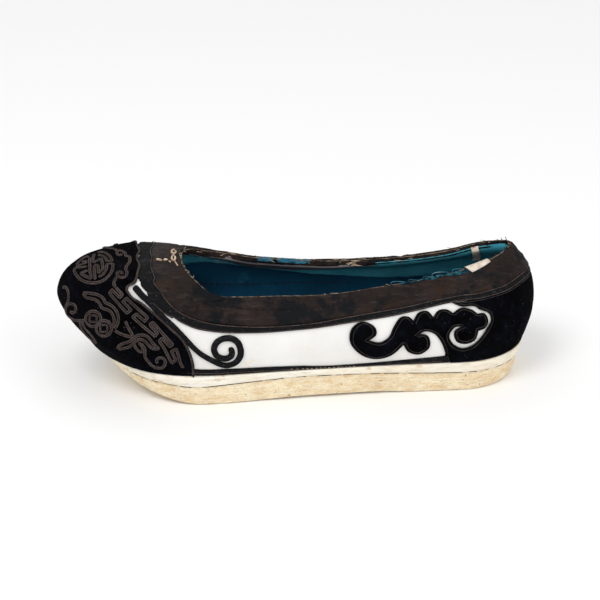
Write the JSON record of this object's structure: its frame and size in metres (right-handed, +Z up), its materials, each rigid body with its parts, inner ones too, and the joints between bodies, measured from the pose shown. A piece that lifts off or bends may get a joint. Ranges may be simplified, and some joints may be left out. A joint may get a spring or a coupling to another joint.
{
  "type": "chinese embroidered shoe",
  "caption": "Flat cloth slip-on shoe with an upturned velvet toe cap, velvet cloud-scroll heel counter, satin collar band, edge ribbon and layered cloth sole, open at the collar.",
  "frame": {"origin": "on the floor, under the middle of the shoe in length and width", "axes": "+X runs from the toe to the heel, +Y across the foot, +Z up from the floor"},
  "size_m": [0.2514, 0.0782, 0.0703],
  "materials": {
    "layered_sole": "rough layered cloth sole, beige with brown flecks",
    "bound_sole": "off-white cotton bound round the upper sole layer",
    "insole_cotton": "dark teal cotton footbed",
    "white_cotton": "plain white cotton, with a dark lining inside",
    "black_velvet": "matt black velvet pile",
    "brown_satin": "worn brown-black ribbed satin",
    "black_ribbon": "black twill ribbon with worn grey threads"
  },
  "bodies": {
    "root": {"outsole": "layered_sole", "midsole": "bound_sole", "insole": "insole_cotton", "upper": "white_cotton", "toe_cap": "black_velvet", "collar_band": "brown_satin", "edge_ribbon": "black_ribbon", "back_strip": "brown_satin", "heel_counter_near": "black_velvet", "heel_counter_far": "black_velvet", "curl_strip_near": "black_ribbon", "curl_strip_far": "black_ribbon", "base_strip_near": "black_ribbon", "base_strip_far": "black_ribbon"}
  },
  "joints": []
}
